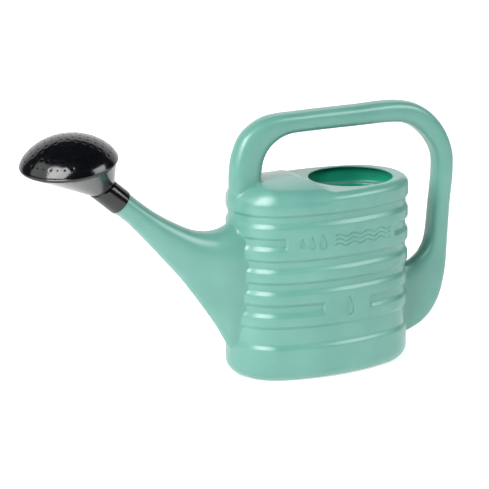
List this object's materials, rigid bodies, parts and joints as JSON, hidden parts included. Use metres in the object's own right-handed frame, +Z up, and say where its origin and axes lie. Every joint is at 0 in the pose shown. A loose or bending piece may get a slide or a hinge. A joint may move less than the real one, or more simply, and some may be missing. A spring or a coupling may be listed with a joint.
{
  "type": "watering can",
  "caption": "Ribbed oval garden watering can, blow-moulded with a hoop handle and a long spout, with a push-on domed sprinkler rose that turns, pulls off and opens.",
  "frame": {"origin": "centre of the tank's flat base, on the surface it stands on", "axes": "+Z up, -X towards the spout and the rose, +X towards the rear of the handle, Y across the tank"},
  "size_m": [0.556, 0.1376, 0.3147],
  "materials": {
    "mint_shell": "satin, blow-moulded polyethylene",
    "black_rose": "glossy, injection-moulded polyethylene"
  },
  "bodies": {
    "can": {"tank": "mint_shell", "handle": "mint_shell", "spout": "mint_shell"},
    "liner": {"socket_liner": "black_rose"},
    "rose": {"rose_body": "black_rose"},
    "face": {"rose_face": "black_rose"}
  },
  "joints": [
    {"name": "rose_pull", "type": "slide", "parent": "can", "child": "liner", "axis": [-0.7513, 0, 0.66], "range_m": [0, 0.06]},
    {"name": "rose_turn", "type": "hinge", "parent": "liner", "child": "rose", "pos_m": [-0.2552, 0, 0.2288], "axis": [-0.7513, 0, 0.66], "continuous": true},
    {"name": "face_pull", "type": "slide", "parent": "rose", "child": "face", "axis": [-0.1366, -0.1098, 0.9845], "range_m": [0, 0.04]}
  ]
}
